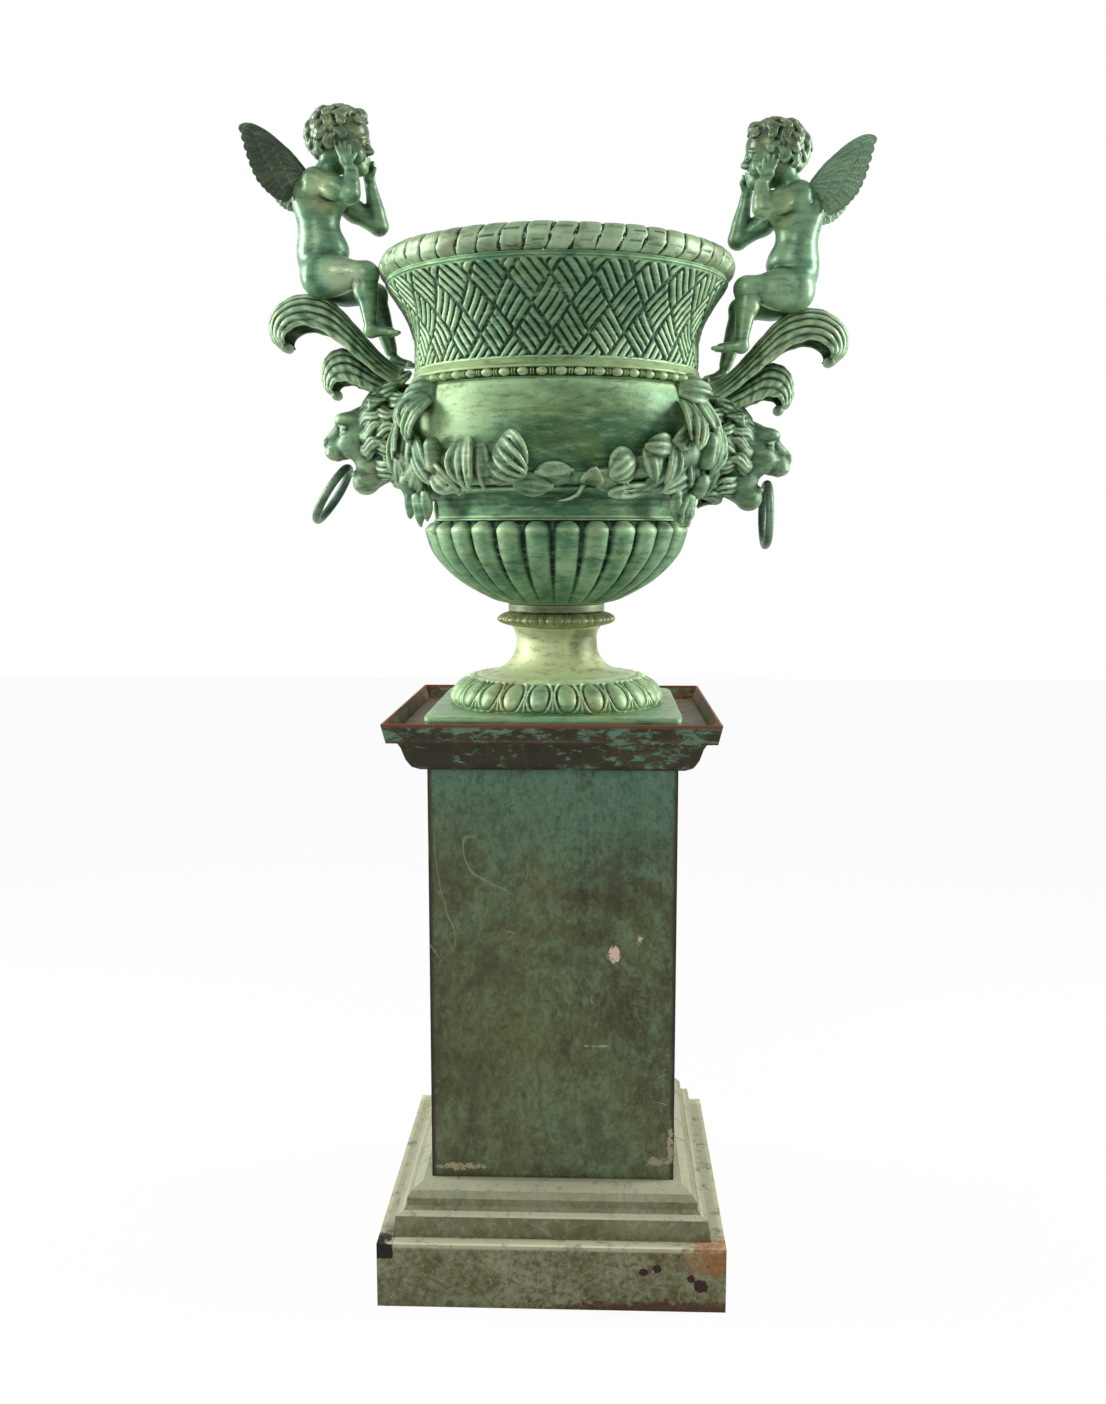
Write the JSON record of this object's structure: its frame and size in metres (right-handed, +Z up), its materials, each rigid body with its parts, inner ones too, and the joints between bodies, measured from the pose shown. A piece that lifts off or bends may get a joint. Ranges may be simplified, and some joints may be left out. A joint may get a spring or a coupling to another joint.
{
  "type": "garden urn on pedestal",
  "caption": "Bronze garden urn with gadrooned bowl, flared basket-weave neck, lion masks with swinging rings and seated winged cherubs, on a square sheet pedestal.",
  "frame": {"origin": "on the floor, under the middle of the pedestal", "axes": "+Z up along the urn's axis, +X through the right-hand mask and figure, -Y the front"},
  "size_m": [1.0412, 0.6016, 1.9825],
  "materials": {
    "base_sheet": "dull grey-green patina, rusty at one corner",
    "die_sheet": "olive and teal patina, scratched",
    "cap_sheet": "dark brown patina with teal patches",
    "foot_bronze": "pale verdigris, satin",
    "bowl_bronze": "green verdigris, satin",
    "rim_bronze": "pale verdigris with dark grooves",
    "ornament_bronze": "dark green patina, satin",
    "figure_bronze": "green patina, glossy",
    "ring_bronze": "dark green patina, satin",
    "fastener_bronze": "bare, dull"
  },
  "bodies": {
    "pedestal": {"base_moulding_front": "base_sheet", "die_panel_front": "die_sheet", "cap_moulding_front": "cap_sheet", "base_moulding_right": "base_sheet", "die_panel_right": "die_sheet", "cap_moulding_right": "cap_sheet", "base_moulding_back": "base_sheet", "die_panel_back": "die_sheet", "cap_moulding_back": "cap_sheet", "base_moulding_left": "base_sheet", "die_panel_left": "die_sheet", "cap_moulding_left": "cap_sheet", "tray_floor": "cap_sheet"},
    "urn": {"urn_plinth": "foot_bronze", "egg_moulding": "foot_bronze", "foot_stem": "foot_bronze", "stem_collar": "foot_bronze", "lower_bowl": "bowl_bronze", "belly_bowl": "bowl_bronze", "bead_ring": "bowl_bronze", "neck": "bowl_bronze", "rim_roll": "rim_bronze", "garland_front": "ornament_bronze", "garland_back": "ornament_bronze", "tie_rod": "fastener_bronze", "washer_lower": "fastener_bronze", "nut_lower": "fastener_bronze", "washer_upper": "fastener_bronze", "nut_upper": "fastener_bronze", "lion_mask_left": "ornament_bronze", "upper_leaf_left": "ornament_bronze", "lower_leaf_left": "ornament_bronze", "child_left": "figure_bronze", "wing_left_near": "ornament_bronze", "wing_left_far": "ornament_bronze", "lion_mask_right": "ornament_bronze", "upper_leaf_right": "ornament_bronze", "lower_leaf_right": "ornament_bronze", "child_right": "figure_bronze", "wing_right_near": "ornament_bronze", "wing_right_far": "ornament_bronze"},
    "ring_left": {"mouth_ring_left": "ring_bronze"},
    "ring_right": {"mouth_ring_right": "ring_bronze"}
  },
  "joints": [
    {"name": "urn_lift", "type": "slide", "parent": "pedestal", "child": "urn", "axis": [0, 0, 1], "range_m": [0, 0.15]},
    {"name": "ring_left_swing", "type": "hinge", "parent": "urn", "child": "ring_left", "pos_m": [-0.362, 0, 1.3802], "axis": [0, 1, 0], "range_deg": [-45, 50]},
    {"name": "ring_right_swing", "type": "hinge", "parent": "urn", "child": "ring_right", "pos_m": [0.362, 0, 1.3522], "axis": [0, -1, 0], "range_deg": [-12, 82]}
  ]
}
